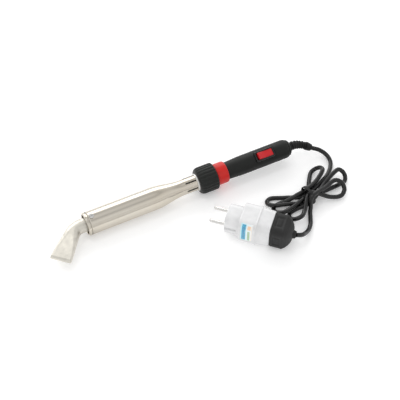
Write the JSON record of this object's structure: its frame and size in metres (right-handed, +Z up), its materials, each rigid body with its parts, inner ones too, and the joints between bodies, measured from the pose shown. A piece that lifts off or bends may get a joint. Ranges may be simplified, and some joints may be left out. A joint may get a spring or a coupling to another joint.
{
  "type": "soldering iron",
  "caption": "Heavy mains soldering iron: bent chisel tip, nickel barrel, black handle with red ring and rocker switch, bundled cord with plug and white adapter.",
  "frame": {"origin": "on the surface the iron lies on, under the middle of the iron's box without its cord, plug and adapter", "axes": "+X along the iron from tip to cord, -Y the side the tip bends to, +Z up"},
  "size_m": [0.3675, 0.1436, 0.0374],
  "materials": {
    "tinned_copper": "satin",
    "nickel_steel": "polished",
    "dark_steel": "oxidised",
    "steel_screw": "satin",
    "mica": "satin",
    "nichrome": "oxidised",
    "ceramic": "matte",
    "black_bakelite": "satin",
    "phenolic": "matte",
    "red_plastic": "gloss",
    "black_grip": "soft satin",
    "black_gloss": "gloss",
    "red_rocker": "gloss",
    "brass": "satin",
    "blue_wire": "satin",
    "brown_wire": "satin",
    "green_wire": "satin",
    "cord_rubber": "satin",
    "relief_rubber": "matte",
    "plug_rubber": "matte",
    "white_plastic": "satin",
    "nickel_pin": "satin",
    "label_paper": "printed"
  },
  "bodies": {
    "iron": {"tip_clamp_screw": "steel_screw", "front_ring": "nickel_steel", "barrel": "nickel_steel", "tip_sleeve": "dark_steel", "mica_inner_wrap": "mica", "heater_winding": "nichrome", "mica_outer_wrap": "mica", "heater_front_washer": "ceramic", "heater_rear_washer": "ceramic", "heater_lead_wires": "nichrome", "ceramic_lead_tubes": "ceramic", "neck_ferrule": "nickel_steel", "collar": "black_bakelite", "insulating_disc": "phenolic", "red_ring": "red_plastic", "handle": "black_grip", "terminal_block": "ceramic", "terminal_inserts": "brass", "terminal_screws": "steel_screw", "switch_housing": "black_gloss", "switch_contact_bar": "brass", "switch_terminals": "brass", "neutral_wire": "blue_wire", "live_wire": "brown_wire", "switched_live_wire": "brown_wire", "earth_wire": "green_wire", "rear_cap": "black_bakelite", "cap_screw": "steel_screw", "cord_clamp": "steel_screw", "clamp_screws": "steel_screw", "cord_sheath_end": "cord_rubber", "strain_relief": "relief_rubber", "cord_lead": "cord_rubber", "cord_hank": "cord_rubber", "cord_tail": "cord_rubber", "cord_tie": "relief_rubber", "plug_body": "plug_rubber", "plug_pins": "brass"},
    "tip": {"soldering_tip": "tinned_copper"},
    "rocker": {"switch_rocker": "red_rocker", "switch_plunger": "brass"},
    "adapter": {"adapter_front": "white_plastic", "adapter_body": "white_plastic", "adapter_socket": "white_plastic", "adapter_pins": "nickel_pin", "adapter_contacts": "brass", "adapter_label": "label_paper", "adapter_screw": "steel_screw"}
  },
  "joints": [
    {"name": "tip_slide", "type": "slide", "parent": "iron", "child": "tip", "axis": [-0.9999, 0, -0.0154], "range_m": [0, 0.055]},
    {"name": "rocker_switch", "type": "hinge", "parent": "iron", "child": "rocker", "pos_m": [0.12383, 0.01043, 0.02357], "axis": [0.0063, -0.9135, -0.4067], "range_deg": [0, 14]},
    {"name": "adapter_slide", "type": "slide", "parent": "iron", "child": "adapter", "axis": [-0.7314, 0.682, 0], "range_m": [0, 0.025]}
  ]
}
